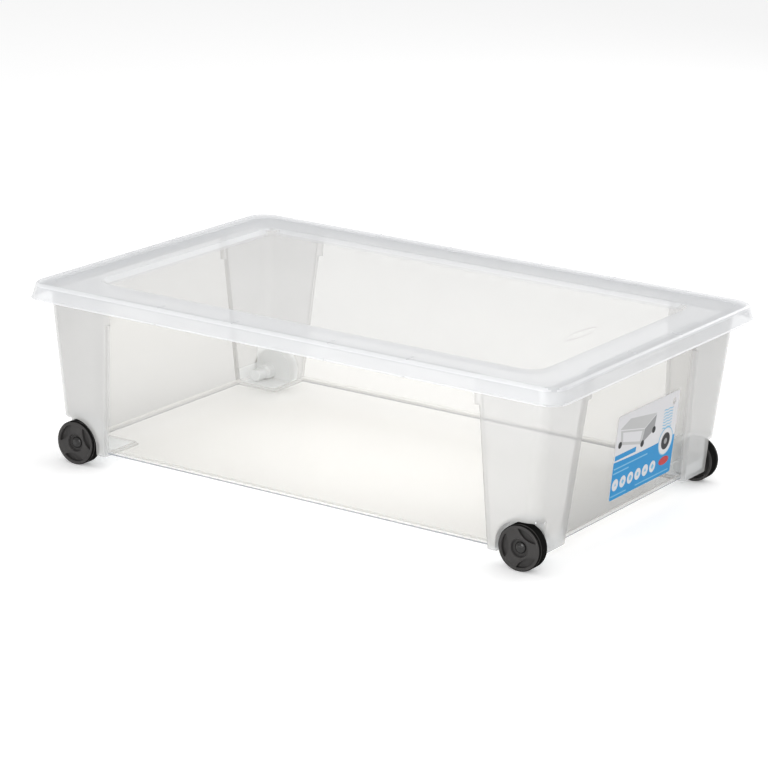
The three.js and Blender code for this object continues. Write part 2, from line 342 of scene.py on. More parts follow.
def makeDiscRowTree():  # an evenly spaced row of thin discs, standing on the card
    tree, start, end = newTree("discRow", {"Count": "Int", "Spacing": "Vector", "Radius": "Float",
                                           "Thickness": "Float", "Finish": "Material"})
    row = addNode(tree, "GeometryNodeMeshLine")
    tree.links.new(start.outputs["Count"], row.inputs["Count"])
    tree.links.new(start.outputs["Spacing"], row.inputs["Offset"])
    coin = addNode(tree, "GeometryNodeMeshCylinder", {"Vertices": 32})
    tree.links.new(start.outputs["Radius"], coin.inputs["Radius"])
    tree.links.new(start.outputs["Thickness"], coin.inputs["Depth"])
    coins = standOn(tree, row.outputs[0], coin.outputs["Mesh"])
    return paintAndEnd(tree, coins, start, end)


discRowTree = makeDiscRowTree()


def discRow(name, first, spacing, count, radius, thickness, material):
    piece = newPiece(name, [(0, 0, 0)], [], [])
    modifier = piece.modifiers.new("row", "NODES")
    modifier.node_group = discRowTree
    setInputs(modifier, {"Count": count, "Spacing": tuple(v * mm for v in spacing),
                         "Radius": radius * mm, "Thickness": thickness * mm, "Finish": material})
    settle(piece)
    piece.data.transform(Matrix.Translation(Vector(first) * mm))
    return closeUp(piece)


tub = dict(
    wall=2.0, draft=0.08, corner=14.0, recess=5.0, lift=2.0,
    longPanel=(219.0, 209.0), shortPanel=(118.0, 104.5),  # half widths at the foot and the rim
    flange=2.7, flangeCorner=20.0, flangeRounds=(0.6, 0.8), postInFromFlange=(10.2, 6.1),
    outsideRounds=(1.2, 1.7), insideRounds=(2.6, 0.8),  # hollow and proud edges of the posts
    footRound=2.4, floorRound=3.6, footBand=14.0, cornerSteps=12, edgeSteps=4,
    gusset=(3.5, 26.0), gussetSink=0.4, wellGap=3.5, wellWall=158.5, wellPast=(300.0, 200.0),
    housingReach=(268.7, 172.7), housingFoot=0.7, archSteps=16,
    bossRadii=(9.0, 6.5), bossSteps=(10.5, 25.5), bossEdge=0.6, bore=4.3, boreReach=190.0, bossEnd=1.6,
    padTop=4.5, postEdge=0.6,  # how high the corner pads count as floor, and how wide a post's edge is
)
tubLow, tubHigh = (Vector(corner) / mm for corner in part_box("box_tub"))
wheelLow, wheelHigh = (Vector(corner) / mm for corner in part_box("wheel_back_right"))
axleX = (wheelLow.x + wheelHigh.x) / 2
axleZ = (wheelLow.z + wheelHigh.z) / 2
wheelRadius = (wheelHigh.z - wheelLow.z) / 2


def postHalf(z):  # half length and half width over the posts
    lean = tub["draft"] * (tubHigh.z - z)
    inX, inY = tub["postInFromFlange"]
    return tubHigh.x - inX - lean, tubHigh.y - inY - lean


def panelEdge(z):  # where the posts step in to the long and short panels
    rise = (z - tubLow.z) / (tubHigh.z - tubLow.z)
    longLow, longHigh = tub["longPanel"]
    shortLow, shortHigh = tub["shortPanel"]
    return longLow + (longHigh - longLow) * rise, shortLow + (shortHigh - shortLow) * rise


def fourQuarters(quarter):  # one quarter mirrored round, anticlockwise
    back = quarter[::-1]
    return (quarter + [(-x, y) for x, y in back] + [(-x, -y) for x, y in quarter]
            + [(x, -y) for x, y in back])


def tubRing(z, inset, wall, rounds):  # the tub's outline at a height, drawn in by inset
    halfX, halfY = (half - wall - inset for half in postHalf(z))
    edgeX, edgeY = (edge + wall for edge in panelEdge(z))
    hollow, proud = rounds
    corner, recess, steps = tub["corner"] - wall, tub["recess"], tub["edgeSteps"]
    quarter = arc((halfX - recess + hollow, edgeY - hollow), hollow, 180, 90, steps)
    quarter += arc((halfX - proud, edgeY + proud), proud, -90, 0, steps)
    quarter += arc((halfX - corner, halfY - corner), corner, 0, 90, tub["cornerSteps"])
    quarter += arc((edgeX + proud, halfY - proud), proud, 90, 180, steps)
    quarter += arc((edgeX - hollow, halfY - recess + hollow), hollow, 0, -90, steps)
    return fourQuarters(quarter)


def flangeRing(z, inset):  # the rim flange's outline, point for point with tubRing
    halfX, halfY = tubHigh.x - inset, tubHigh.y - inset
    corner, side = tub["flangeCorner"], 2 * (tub["edgeSteps"] + 1)
    wallRing = tubRing(z, 0, 0, tub["outsideRounds"])
    count = len(wallRing) // 4
    quarter = [(halfX, y) for _, y in wallRing[:side]]
    quarter += arc((halfX - corner, halfY - corner), corner, 0, 90, tub["cornerSteps"])
    quarter += [(x, halfY) for x, _ in wallRing[count - side:count]]
    return fourQuarters(quarter)


def skinLevels(bottom, top, radius, steps=5):  # (inset, height) up a wall with a rounded foot
    levels = [(radius + x, bottom + radius + z) for x, z in arc((0, 0), radius, 270, 180, steps)]
    return levels + [(0, bottom + tub["footBand"]), (0, (bottom + top) / 2), (0, top)]


def makeTubShell():
    points, rings = [], []
    side = tub["edgeSteps"] + 1
    count = 4 * side + tub["cornerSteps"] + 1

    def addRing(flat, heights):
        rings.append(list(range(len(points), len(points) + len(flat))))
        points.extend((x, y, z) for (x, y), z in zip(flat, heights))

    def addSkin(levels, wall, rounds, bottom):  # the panels' floor is lifted above the posts' feet
        for inset, z in levels:
            raised = z + tub["lift"] if z - bottom < tub["floorRound"] + 0.01 else z
            foot, panel = tubRing(z, inset, wall, rounds), tubRing(raised, inset, wall, rounds)
            onPanel = [i % count < side or i % count >= count - side for i in range(len(foot))]
            addRing([p if flag else f for f, p, flag in zip(foot, panel, onPanel)],
                    [raised if flag else z for flag in onPanel])

    def addFloor(ring, z, wall):  # a cross-shaped floor with a lower pad in each corner
        faces, middle = [], []
        edgeX, edgeY = (edge + wall for edge in panelEdge(z))
        for q, (signX, signY) in enumerate(((1, 1), (-1, 1), (-1, -1), (1, -1))):
            low = len(points)
            points.append((signX * edgeX, signY * edgeY, z))
            points.append((signX * edgeX, signY * edgeY, z + tub["lift"]))
            start = ring[q * count:(q + 1) * count]
            pad = start[side:count - side]
            faces += [pad + [low], (start[side - 1], start[side], low, low + 1),
                      (start[count - side], low + 1, low, start[count - side - 1])]
            middle += start[:side] + [low + 1] + start[count - side:]
        return faces + [middle]

    outside, inside = tub["outsideRounds"], tub["insideRounds"]
    underFlange, rim = tubHigh.z - tub["flange"], tubHigh.z
    addSkin(skinLevels(tubLow.z, underFlange, tub["footRound"]), 0, outside, tubLow.z)
    under, over = tub["flangeRounds"]
    for inset, z in ((under, underFlange), (0, underFlange + under), (0, rim - over), (over, rim)):
        flat = flangeRing(z, inset)
        addRing(flat, [z] * len(flat))
    innerLow = tubLow.z + tub["wall"]
    addSkin(skinLevels(innerLow, rim, tub["floorRound"])[::-1], tub["wall"], inside, innerLow)
    faces = stackRings(rings)
    faces += addFloor(rings[0], tubLow.z, 0)
    faces += addFloor(rings[-1], innerLow, tub["wall"])
    return closeUp(newPiece("tub_shell", points, faces, [finish["clearPlastic"]]))


def inFourCorners(name, make):  # make builds one corner's tool at +X +Y; the rest are mirrored
    tools = []
    for signX in (1, -1):
        for signY in (1, -1):
            tool = make()
            tool.data.transform(Matrix.Diagonal((signX, signY, 1, 1)))
            tools.append(closeUp(tool))
    return joined(name, tools)


def dress(piece, kinds, choose):  # gives each face the finish that choose names for its place
    mesh = piece.data
    mesh.materials.clear()
    for kind in kinds:
        mesh.materials.append(finish[kind])
    for face in mesh.polygons:
        kind = choose(*(abs(c) / mm for c in face.center), face.normal.z)
        face.material_index = kinds.index(kind)


tubFinishes = (
    "clearPlastic", "frostedPlastic", "wellPlastic", "rimPlastic", "footPlastic", "edgePlastic",
    "endPlastic",
)


def tubFinish(x, y, z, facing):  # which of the tub's finishes a face wears
    edgeX, edgeY = panelEdge(z)
    halfX, halfY = postHalf(z)
    reachX, reachY = (reach + 0.3 for reach in tub["housingReach"])
    wellLow = tub["wellWall"] - tub["wall"] - tub["bossSteps"][1] - 1
    wellReach = wheelRadius + tub["wellGap"] + tub["wall"] + 0.5
    fromAxle = math.hypot(x - axleX, z - axleZ)
    besideWheel = fromAxle < wellReach - 2 or x > axleX and z < axleZ + wellReach - 2
    padTop = tubLow.z + tub["padTop"]
    inPost = x > edgeX - tub["postEdge"] and y > edgeY - tub["postEdge"]
    if y > tub["wellWall"] - 0.5 and besideWheel:
        return "frostedPlastic"
    # the well housings and the posts' foot pads are painted near white: a painted glow of light passing
    # through the frosted plastic
    if padTop < z < axleZ + wellReach and axleX - wellReach < x < reachX and wellLow < y < reachY:
        return "wellPlastic"
    if z < padTop and abs(facing) > 0.9 and inPost:
        return "wellPlastic"
    if z > tubHigh.z - tub["flange"] - 0.1:
        return "rimPlastic"
    if inPost:
        return "frostedPlastic"
    outer = tub["recess"] + tub["footRound"]
    # the lowest outer round is painted dark: painted shadow and painted refraction along the base edge
    if -0.995 < facing < -0.1 and z < tubLow.z + outer and (x > halfX - outer or y > halfY - outer):
        return "edgePlastic" if z < tubLow.z + tub["lift"] + tub["footRound"] else "clearPlastic"
    inner = tub["recess"] + tub["wall"] + tub["floorRound"]
    if 0.1 < facing < 0.97 and z < tubLow.z + inner:  # where the floor curves up into the walls
        return "footPlastic"
    # the end panels wear the darker copy: painted shade on the sides that less light reaches
    return "endPlastic" if x > halfX - inner and abs(facing) < 0.97 else "clearPlastic"


def makeTub():
    shell = makeTubShell()
    wellY, gap, wall = tub["wellWall"], wheelRadius + tub["wellGap"], tub["wall"]
    axis, material = (axleX, 0, axleZ), [finish["frostedPlastic"]]

    def housing():
        reachX, reachY = tub["housingReach"]
        foot, top = tubLow.z + tub["housingFoot"], axleZ + gap + wall
        outline = arc((axleX, axleZ), gap + wall, 90, 180, tub["archSteps"])
        outline += [(axleX - gap - wall, foot), (reachX, foot), (reachX, top)]
        return prism("housing", outline, wellY - wall, reachY, material)

    def boss():
        low, high = tub["bossRadii"]
        edge, front = tub["bossEdge"], wellY - wall
        near, far = (front - step for step in tub["bossSteps"])
        profile = [(0, wellY - 0.5), (low + edge, wellY - 0.5), (low + edge, front - 0.3)]
        profile += [(low, front - 1.2), (low, near + 0.8), (low - 0.8, near)]
        profile += [(high + edge, near), (high, near - edge)]
        profile += [(high, far + 1), (high - 1, far), (0, far)]
        return turned("boss", profile, axis, 1, material, 48)

    def bore():
        far, out = wellY - wall - tub["bossSteps"][1] + tub["bossEnd"], tub["boreReach"]
        radius = tub["bore"]
        return turned("bore", [(0, far), (radius, far), (radius, out), (0, out)], axis, 1, material, 40)

    def well():  # a quarter arch that runs on out through the end and the foot
        pastX, pastY = tub["wellPast"]
        arch = arc((axleX, axleZ), gap, 90, 180, tub["archSteps"])
        outline = [(pastX, axleZ + gap)] + arch + [(axleX - gap, -8), (pastX, -8)]
        return prism("well", outline, wellY, pastY, material)

    width, height = tub["gusset"]
    recess, sink, signs = tub["recess"], tub["gussetSink"], (1, -1)
    lean, middle = math.atan(tub["draft"]), tubHigh.z - tub["flange"] + sink - height / 2
    halfX, halfY = postHalf(middle)
    edgeX, edgeY = panelEdge(middle)
    outX, outY = halfX - recess / 2 - sink, halfY - recess / 2 - sink
    inX, inY = edgeX - width / 2 + 1, edgeY - width / 2 + 1
    longPlaces = [((sx * inX, sy * outY, middle), (-sy * lean, 0, 0)) for sx in signs for sy in signs]
    endPlaces = [((sx * outX, sy * inY, middle), (0, sx * lean, 0)) for sx in signs for sy in signs]
    longSize, endSize = (width + 2, recess + 0.6, height), (recess + 0.6, width + 2, height)
    combine(shell, inFourCorners("housings", housing), "UNION")
    combine(shell, inFourCorners("bosses", boss), "UNION")
    combine(shell, inFourCorners("wells", well), "DIFFERENCE")
    combine(shell, inFourCorners("bores", bore), "DIFFERENCE")
    combine(shell, repeatBlocks("gussets_long", longPlaces, longSize, material[0]), "UNION")
    combine(shell, repeatBlocks("gussets_end", endPlaces, endSize, material[0]), "UNION")
    dress(shell, tubFinishes, tubFinish)
    shell.name = "tub"
    return smooth(shell)


tubPiece = makeTub()
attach(tubPiece, "tub")
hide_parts("box_tub")
print("tub made", len(tubPiece.data.polygons), "faces")


lid = dict(
    corner=20.0, cornerSteps=12, skirtLean=2.8, crestRound=3.2, crestBand=12.2, bandDrop=1.0,
    rimBand=49.0, panelDrop=4.7, panelSlope=4.2, crown=0.9, wall=2.0, panelWall=1.6,
    zoneHalf=43.0, zoneX=97.0, bead=(3.0, 2.0), beadIn=2.4, beadUp=6.0,
    tick=(11.0, 1.3, 0.9), tickIn=2.2, tickSink=0.35, lipNotch=(3.0, 1.4),
    oval=(210.0, 30.0, 6.5, 0.95), ovalInsets=(0, 0.5, 1.4, 1.9),  # place along X, half sizes, rise
)
lidLow, lidHigh = (Vector(corner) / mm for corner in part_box("lid"))


def lidRing(inset):
    halfX, halfY, corner = lidHigh.x - inset, lidHigh.y - inset, lid["corner"]
    return fourQuarters(arc((halfX - corner, halfY - corner), corner, 0, 90, lid["cornerSteps"]))


def lidProfile():  # (inset, height) round the lid's section: up the skirt, over, in, and back under
    low, high, lean, wall = lidLow.z, lidHigh.z, lid["skirtLean"], lid["wall"]
    band, rimIn = high - lid["bandDrop"], lid["rimBand"]
    panel, slope = band - lid["panelDrop"], lid["panelSlope"]
    crestIn = lean + lid["crestRound"] + lid["crestBand"] - 3
    top = [(0.5, low), (0.1, low + 0.25), (0, low + 0.8), (0.15, low + 1.2), (0.75, low + 1.7)]
    top += [(lean + lid["crestRound"] + x, high - lid["crestRound"] + z)
            for x, z in arc((0, 0), lid["crestRound"], 180, 90, 6)]
    top += [(crestIn, high), (crestIn + 0.6, high - 0.12), (crestIn + 1.2, band + 0.12),
            (crestIn + 1.9, band)]
    top += [(rimIn - 0.6, band), (rimIn + 0.3, band - 0.25), (rimIn + 0.8, band - 0.9),
            (rimIn + slope - 1.0, panel + 0.9), (rimIn + slope - 0.4, panel + 0.25),
            (rimIn + slope + 0.6, panel)]
    inner = rimIn + slope + 0.6
    last = lidHigh.y - lid["corner"] - 2
    swell = [(inner + (last - inner) * t, panel + lid["crown"] * math.sin(math.pi / 2 * t))
             for t in (0.15, 0.35, 0.6, 0.85, 1)]
    under = [(x, z - lid["panelWall"]) for x, z in swell[::-1]]
    under += [(rimIn + slope + 0.2, panel - wall), (rimIn + slope - 1.6, panel - wall + 0.5),
              (rimIn - 1.2, band - wall - 0.5), (rimIn - 2, band - wall), (crestIn + 0.6, band - wall),
              (crestIn - 1, high - wall), (lean + wall + 2.2, high - wall),
              (lean + wall + 0.6, high - wall - 1), (lean + wall, high - wall - 2.6),
              (2.6, low + 1.4), (2.3, low)]
    return top + swell, under


lidFinishes = ("lidBand", "lidClear", "lidCrest")


def lidFinish(x, y, z, facing):  # which of the lid's finishes a face wears
    inset = min(lidHigh.x - x, lidHigh.y - y)
    if inset > lid["rimBand"] + lid["panelSlope"] - 0.2:
        return "lidClear"
    crest = lid["skirtLean"] + lid["crestRound"]
    # painted highlight: the crest round and the lower lip edge wear the lighter copy
    onCrest = inset < crest + 0.6 and z > lidHigh.z - lid["crestRound"] and facing > 0.05
    return "lidCrest" if onCrest or z < lidLow.z + 1.6 and inset < 1.2 else "lidBand"


def makeLid():
    top, under = lidProfile()
    points, rings = [], []
    for inset, z in top + under:
        flat = lidRing(inset)
        rings.append(list(range(len(points), len(points) + len(flat))))
        points.extend((x, y, z) for x, y in flat)
    last = len(top) - 1
    faces = stackRings(rings[:last + 1]) + [rings[last]]
    faces += stackRings(rings[last + 1:]) + [rings[last + 1][::-1]]
    faces += stackRings([rings[-1], rings[0]])
    band = finish["lidBand"]
    shell = closeUp(newPiece("lid_shell", points, faces, [band]))
    level, signs = (0, 0, 0), (1, -1)

    half, zoneX = lid["zoneHalf"], lid["zoneX"]
    depth, tall = lid["bead"]
    beadIn, beadZ = lid["beadIn"] + depth / 2, lidLow.z + lid["beadUp"]
    longBeads = [((sx * zoneX, sy * (lidHigh.y - beadIn), beadZ), level) for sx in signs for sy in signs]
    endBeads = [((sx * (lidHigh.x - beadIn), 0, beadZ), level) for sx in signs]
    combine(shell, repeatBlocks("beads_long", longBeads, (2 * half, depth, tall), band), "UNION")
    combine(shell, repeatBlocks("beads_end", endBeads, (depth, 2 * half, tall), band), "UNION")

    long, wide, high = lid["tick"]
    ends = [side * zoneX + end * half for side in signs for end in signs]
    tickIn = lid["skirtLean"] + lid["tickIn"] + long / 2
    tickZ = lidHigh.z + high / 2 - lid["tickSink"]
    longTicks = [((x, sy * (lidHigh.y - tickIn), tickZ), level) for x in ends for sy in signs]
    endTicks = [((sx * (lidHigh.x - tickIn), y, tickZ), level) for y in (half, -half) for sx in signs]
    combine(shell, repeatBlocks("ticks_long", longTicks, (wide, long, high), band), "UNION")
    combine(shell, repeatBlocks("ticks_end", endTicks, (long, wide, high), band), "UNION")

    wide, tall = lid["lipNotch"]
    longNotches = [((x, sy * lidHigh.y, lidLow.z), level) for x in ends for sy in signs]
    endNotches = [((sx * lidHigh.x, y, lidLow.z), level) for y in (half, -half) for sx in signs]
    combine(shell, repeatBlocks("notches_long", longNotches, (wide, 3, 2 * tall), band), "DIFFERENCE")
    combine(shell, repeatBlocks("notches_end", endNotches, (3, wide, 2 * tall), band), "DIFFERENCE")

    panelTop = lidHigh.z - lid["bandDrop"] - lid["panelDrop"]
    alongX, halfLong, halfWide, rise = lid["oval"]
    circle = arc((0, 0), 1, 0, 355, 71)
    ovals = [[(alongX + (halfWide - inset) * x, (halfLong - inset) * y) for x, y in circle]
             for inset in lid["ovalInsets"]]
    count, heights = len(circle), (-0.5, rise, rise, rise - 0.45)
    points = [(x, y, panelTop + h) for oval, h in zip(ovals, heights) for x, y in oval]
    layers = [list(range(i * count, (i + 1) * count)) for i in range(len(ovals))]
    faces = stackRings(layers) + [layers[0][::-1], layers[-1]]
    combine(shell, closeUp(newPiece("oval_mark", points, faces, [band])), "UNION")

    dress(shell, lidFinishes, lidFinish)
    shell.name = "lid_cover"
    return smooth(shell)


lidPiece = makeLid()
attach(lidPiece, "lid")
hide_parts("lid")
print("lid made", len(lidPiece.data.polygons), "faces")


wheel = dict(
    thickness=14.0, faceStep=0.5, hubStandOff=2.9, hubRecess=3.8, bore=4.3, steps=96, edgeRound=0.3,
    pocketCount=3, pocketAt=14.8, pocketLength=22.5, pocketWidth=7.4, pocketDepth=3.2,
    rolled=dict(front_left=55, front_right=-30, back_left=20, back_right=-35),  # degrees at rest
)
axlePin = dict(head=5.7, headRise=2.4, face=3.5, shaft=4.0, neck=3.7, tip=(2.6, 3.6))


def wheelProfile():  # (radius, along) round half the section: hub, tread with its groove, face
    r, face, bore = wheelRadius, wheel["thickness"], wheel["bore"]
    back, flat, hollow = -wheel["hubStandOff"], face - wheel["faceStep"], face - wheel["hubRecess"]
    hub = [(bore, back), (7.6, back), (8, back + 0.4), (8.6, 7.1), (9, 7.5)]
    hub += [(17.9, 7.5), (18.3, 7.1), (18.9, 0.4), (19.3, 0)]
    tread = [(r - 1.0, 0), (r - 0.3, 0.2), (r, 0.9), (r, face - 4.3), (r - 0.15, face - 4.0)]
    tread += [(r - 0.9, face - 3.7), (r - 1.0, face - 3.4), (r - 1.0, face - 2.8), (r - 0.8, face - 2.5)]
    tread += [(r - 0.1, face - 2.2), (r, face - 1.9), (r, face - 1.1), (r - 0.25, face - 0.55)]
    tread += [(r - 0.8, face - 0.12), (r - 1.5, face)]
    front = [(r - 2.9, face), (r - 3.2, face - 0.12), (r - 3.5, face - 0.42), (r - 3.9, flat)]
    front += [(9.6, flat), (9.2, face - 0.58), (8.9, face - 0.85), (8.6, face - 1.5), (8.3, face - 3.6)]
    front += [(8.0, hollow), (bore, hollow)]
    return hub + tread + front + [(bore, back)]


def lensOutline(length, width, steps=16):
    half, rise = length / 2, width / 2
    radius = (half * half + rise * rise) / (2 * rise)
    reach = math.degrees(math.asin(half / radius))
    upper = arc((0, rise - radius), radius, 90 + reach, 90 - reach, steps)
    lower = arc((0, radius - rise), radius, -90 + reach, -90 - reach, steps)
    return upper[:-1] + lower[:-1]


def makePocketTree():  # cuts a ring of pockets: the cutter is stood round the axis Count times
    tree, start, end = newTree("pocketRing", {"Cutter": "Object", "Count": "Int", "Roll": "Float",
                                              "Finish": "Material"})
    line = addNode(tree, "GeometryNodeMeshLine", {"Offset": (0, 0, 0)})
    tree.links.new(start.outputs["Count"], line.inputs["Count"])
    cutter = addNode(tree, "GeometryNodeObjectInfo", {"As Instance": True})
    tree.links.new(start.outputs["Cutter"], cutter.inputs["Object"])
    number = addNode(tree, "GeometryNodeInputIndex")
    share = addNode(tree, "ShaderNodeMath", operation="DIVIDE")
    tree.links.new(number.outputs[0], share.inputs[0])
    tree.links.new(start.outputs["Count"], share.inputs[1])
    angle = addNode(tree, "ShaderNodeMath", {1: 2 * math.pi}, operation="MULTIPLY")
    tree.links.new(share.outputs[0], angle.inputs[0])
    rolled = addNode(tree, "ShaderNodeMath", operation="ADD")
    tree.links.new(angle.outputs[0], rolled.inputs[0])
    tree.links.new(start.outputs["Roll"], rolled.inputs[1])
    turn = addNode(tree, "ShaderNodeCombineXYZ")
    tree.links.new(rolled.outputs[0], turn.inputs["Y"])
    cutters = standOn(tree, line.outputs[0], cutter.outputs["Geometry"], asTurn(tree, turn.outputs[0]))
    pocketed = addNode(tree, "GeometryNodeMeshBoolean", operation="DIFFERENCE", solver="EXACT")
    tree.links.new(start.outputs["Geometry"], pocketed.inputs["Mesh 1"])
    tree.links.new(cutters, pocketed.inputs["Mesh 2"])
    solid = addNode(tree, "GeometryNodeRealizeInstances")
    tree.links.new(pocketed.outputs["Mesh"], solid.inputs[0])
    return paintAndEnd(tree, solid.outputs[0], start, end)


pocketTree = makePocketTree()


def seatOutward(piece, outward, centre):  # from the axis out to its corner, facing out
    turn = Matrix.Rotation(0 if outward > 0 else math.pi, 4, "Z")
    piece.data.transform(Matrix.Translation(centre * mm) @ turn)


def makeWheel(corner, outward, centre):
    black = finish["blackPlastic"]
    body = turned(f"tyre_{corner}", wheelProfile(), (0, 0, 0), 1, [black], wheel["steps"])
    floorY = wheel["thickness"] - wheel["faceStep"] - wheel["pocketDepth"]
    lens = lensOutline(wheel["pocketLength"], wheel["pocketWidth"])
    outline = [(x, z + wheel["pocketAt"]) for x, z in lens]
    cutter = prism(f"cutter_{corner}", outline, floorY, floorY + 10, [black])
    modifier = body.modifiers.new("pockets", "NODES")
    modifier.node_group = pocketTree
    setInputs(modifier, {"Cutter": cutter, "Count": wheel["pocketCount"], "Finish": black,
                         "Roll": math.radians(wheel["rolled"][corner])})
    settle(body)
    bpy.data.objects.remove(cutter)
    edges = body.modifiers.new("edges", "BEVEL")
    edges.width = wheel["edgeRound"] * mm
    edges.segments = 2
    edges.limit_method = "ANGLE"
    edges.angle_limit = math.radians(50)
    settle(body)
    body.data.materials.clear()
    for kind in ("blackPlastic", "treadPlastic"):
        body.data.materials.append(finish[kind])
    for face in body.data.polygons:  # painted shade: the tread is painted a deeper black than the face
        x, _, z = face.center / mm
        face.material_index = int(math.hypot(x, z) > wheelRadius - 2 and abs(face.normal.y) < 0.8)
    seatOutward(body, outward, centre)
    return smooth(body, 40)


def makePin(corner, outward, centre):
    face = wheel["thickness"] - axlePin["face"]
    head, shaft, neck = (axlePin[key] for key in ("head", "shaft", "neck"))
    low, high = (Vector(c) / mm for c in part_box(f"axle_pin_{corner}"))
    tip = low.y - centre.y if outward > 0 else centre.y - high.y
    nose, chin = axlePin["tip"]
    profile = [(0, tip), (nose, tip), (chin, tip + 1.2), (shaft, tip + 3), (neck, tip + 4.2)]
    profile += [(neck, tip + 6), (shaft, tip + 6.6), (shaft, face), (head - 0.2, face), (head, face + 0.15)]
    for degrees in range(0, 90, 9):  # the domed head
        turn = math.radians(degrees)
        profile.append((head * math.cos(turn), face + 0.2 + axlePin["headRise"] * math.sin(turn)))
    profile.append((0, face + 0.2 + axlePin["headRise"]))
    pin = turned(f"pin_{corner}", profile, (0, 0, 0), 1, [finish["pinPlastic"]], 48)
    seatOutward(pin, outward, centre)
    return smooth(pin, 40)


for corner in cornerNames:
    low, high = (Vector(c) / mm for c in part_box(f"wheel_{corner}"))
    outward = 1 if low.y > 0 else -1
    innerPlane = (high.y if outward > 0 else low.y) - outward * wheel["thickness"]
    centre = Vector(((low.x + high.x) / 2, innerPlane, (low.z + high.z) / 2))
    tyre = makeWheel(corner, outward, centre)
    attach(tyre, f"wheel_{corner}")
    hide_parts(f"wheel_{corner}")
    pin = makePin(corner, outward, centre)
    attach(pin, "tub")
    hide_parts(f"axle_pin_{corner}")
print("wheels and pins made")


label = dict(
    width=121.0, height=84.0, thickness=0.5, corner=2.5, hole=(51.0, 32.5, 3.6), ink=0.05,
    fieldTop=-5.0, fieldRise=1.6,
    icons=(-52.0, -27.3, 14.7, 6, 5.9),  # first disc across and up, spacing, count, radius
    drawnLid=((-55.5, 28.5), (-5, 18.5), (17.5, 28.5), (-36.5, 35.5)),
    drawnSide=((-53.5, 27), (-51, 12.5), (-9, 3), (-5, 17.5)),
    drawnEnd=((-4.4, 17.5), (-8.4, 3), (15, 12), (16.8, 27.2)),
    drawnWindow=((-49, 24.4), (-47, 14.6), (-12, 6.6), (-9.5, 16.6)),
    drawnWheels=((-52, 12.5), (-6.5, 3), (14.5, 12)), drawnWheel=3.4,
    ring=(42.5, -6.3), ringRadii=(14.4, 13.3, 8.6, 3.0), ovalSquash=0.42,
    waves=(7, 32.5, 8.0, 3.1), waveStep=1.5,  # how many, first across and up, spacing
    lines=((-58.5, -10.6, 66, 1.3), (-58.5, -15.2, 30, 1.3), (-58.5, -38.2, 30, 1.2),
           (-10.5, -38.2, 66, 1.2)),  # across, up, length, height
    title=(-59, 0.4, 41, 5.0),
)


def plate(name, outline, low, high, material):  # a flat shape on the card, low to high above its middle
    count = len(outline)
    points = [(x, y, low) for x, y in outline] + [(x, y, high) for x, y in outline]
    near, far = list(range(count)), list(range(count, 2 * count))
    return closeUp(newPiece(name, points, stackRings([near, far]) + [near[::-1], far], [material]))


def bar(name, s, t, length, height, layer, material):
    s0, s1, t0, t1 = s, s + length, t - height / 2, t + height / 2
    return ink(name, [(s0, t0), (s1, t0), (s1, t1), (s0, t1)], layer, material)


def ink(name, outline, layer, material):  # ink layers stand one above the other
    front = label["thickness"] / 2
    return plate(name, outline, front - 0.02, front + label["ink"] * layer, material)


def disc(name, s, t, radius, layer, material, squash=1.0):
    outline = [(x, t + (y - t) * squash) for x, y in arc((s, t), radius, 0, 351, 39)]
    return ink(name, outline, layer, material)


def makeCard():
    halfW, halfH, corner = label["width"] / 2, label["height"] / 2, label["corner"]
    outline = fourQuarters(arc((halfW - corner, halfH - corner), corner, 0, 90, 6))
    card = plate("card", outline, -label["thickness"] / 2, label["thickness"] / 2, finish["cardWhite"])
    s, t, radius = label["hole"]
    hole = plate("hole", arc((s, t), radius, 0, 350, 35), -5, 5, finish["cardWhite"])
    return combine(card, hole, "DIFFERENCE")


def makeField():  # blue lower part with a gently hollow top edge
    halfW, halfH, corner = label["width"] / 2 - 0.1, label["height"] / 2 - 0.1, label["corner"]
    outline = arc((halfW - corner, corner - halfH), corner, 270, 360, 5)
    for i in range(21):
        share = 1 - i / 10
        outline.append((halfW * share, label["fieldTop"] + label["fieldRise"] * share * share))
    outline += arc((corner - halfW, corner - halfH), corner, 180, 270, 5)
    return ink("field", outline, 1, finish["inkBlue"])


def makeIcons():
    s, t, step, count, radius = label["icons"]
    first = (s, t, label["thickness"] / 2 + 0.05)
    parts = [discRow("icon_discs", first, (step, 0, 0), count, radius, 0.1, finish["cardWhite"])]
    for i in range(count):  # a plain mark in every disc, none of them a letter
        x, size = s + i * step, 2.2 + 0.4 * (i % 3)
        corners = 3 + i % 4
        mark = arc((x, t), size, 90, 450 - 360 / corners, corners - 1)
        parts.append(ink(f"icon_mark_{i}", mark, 3, finish["inkSky"]))
    return parts


def makeDrawing():  # a little picture of the box: lid, long side, end and three wheels
    parts = [ink("drawn_lid", label["drawnLid"], 1, finish["inkPale"]),
             ink("drawn_side", label["drawnSide"], 1, finish["inkPale"]),
             ink("drawn_end", label["drawnEnd"], 1, finish["inkGrey"]),
             ink("drawn_window", label["drawnWindow"], 2, finish["cardWhite"])]
    for i, (s, t) in enumerate(label["drawnWheels"]):
        parts.append(disc(f"drawn_wheel_{i}", s, t, label["drawnWheel"], 2, finish["inkDark"]))
    return parts


def makeRing():  # a wheel pictured in a white ring, and a plain red oval under it
    s, t = label["ring"]
    line, white, tyre, hub = label["ringRadii"]
    return [disc("ring_line", s, t, line, 2, finish["inkSky"]),
            disc("ring", s, t, white, 3, finish["cardWhite"]),
            disc("ring_wheel", s, t, tyre, 4, finish["inkDark"]),
            disc("ring_hub", s, t, hub, 5, finish["inkGrey"]),
            disc("oval", s + 1.5, t - 20.5, 10, 3, finish["inkRed"], label["ovalSquash"])]


